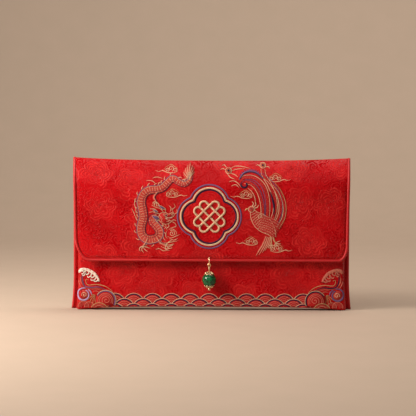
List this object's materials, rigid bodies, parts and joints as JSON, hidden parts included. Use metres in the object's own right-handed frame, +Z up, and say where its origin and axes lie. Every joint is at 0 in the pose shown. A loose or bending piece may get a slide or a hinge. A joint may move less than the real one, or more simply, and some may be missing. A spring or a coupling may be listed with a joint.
{
  "type": "gift envelope",
  "caption": "Cloth gift envelope with a stiffened pocket, a fold-over flap with a piped edge, embroidered figures and border, and a bead charm hanging from the flap.",
  "frame": {"origin": "middle of the flat base that the envelope stands on", "axes": "+X across the front to the right, -Y out of the front, +Z up towards the fold"},
  "size_m": [0.19, 0.0195, 0.104],
  "materials": {
    "brocade": "woven silk brocade with a soft sheen",
    "lining_cloth": "plain smooth lining",
    "card": "stiff grey card",
    "piping": "satin-covered cord",
    "seam_thread": "sewing thread",
    "cream_thread": "satin-stitch embroidery",
    "violet_thread": "satin-stitch embroidery",
    "salmon_thread": "satin-stitch embroidery",
    "gold": "polished gold-coloured wire and filigree",
    "jade": "polished deep green stone",
    "magnet": "plain disc"
  },
  "bodies": {
    "pocket": {"back_cloth": "brocade", "front_cloth": "brocade", "left_side_band": "brocade", "right_side_band": "brocade", "base_band": "brocade", "mouth_hem": "brocade", "fold_cloth": "brocade", "back_lining": "lining_cloth", "front_lining": "lining_cloth", "fold_lining": "lining_cloth", "back_board": "card", "front_board": "card", "left_piping": "piping", "right_piping": "piping", "left_fold_piping": "piping", "right_fold_piping": "piping", "left_seam_thread": "seam_thread", "right_seam_thread": "seam_thread", "wave_border": "cream_thread", "left_corner_wave": "violet_thread", "right_corner_wave": "violet_thread", "front_magnet": "magnet"},
    "flap": {"flap_cloth": "brocade", "flap_board": "card", "flap_lining": "lining_cloth", "flap_magnet": "magnet", "flap_seam_thread": "seam_thread", "flap_piping": "piping", "medallion_outline": "violet_thread", "medallion_rim": "cream_thread", "medallion_knot": "cream_thread", "dragon_embroidery": "salmon_thread", "phoenix_embroidery": "salmon_thread", "cloud_embroidery": "cream_thread"},
    "ring": {"charm_ring": "gold"},
    "drop": {"head_pin": "gold"},
    "bead": {"jade_bead": "jade", "top_cap": "gold", "bottom_cap": "gold"}
  },
  "joints": [
    {"name": "flap_fold", "type": "hinge", "parent": "pocket", "child": "flap", "pos_m": [0, -0.0024, 0.1024], "axis": [-1, 0, 0], "range_deg": [0, 175], "deforming": ["fold_cloth", "fold_lining", "left_fold_piping", "right_fold_piping"]},
    {"name": "ring_swing", "type": "hinge", "parent": "flap", "child": "ring", "pos_m": [-0.0015, -0.0099, 0.0345], "axis": [-1, 0, 0], "range_deg": [0, 135]},
    {"name": "drop_sway", "type": "hinge", "parent": "ring", "child": "drop", "pos_m": [-0.0015, -0.0099, 0.0316], "axis": [0, 1, 0], "range_deg": [-60, 60]},
    {"name": "bead_spin", "type": "hinge", "parent": "drop", "child": "bead", "pos_m": [-0.0015, -0.0099, 0.0214], "axis": [0, 0, 1], "continuous": true}
  ]
}
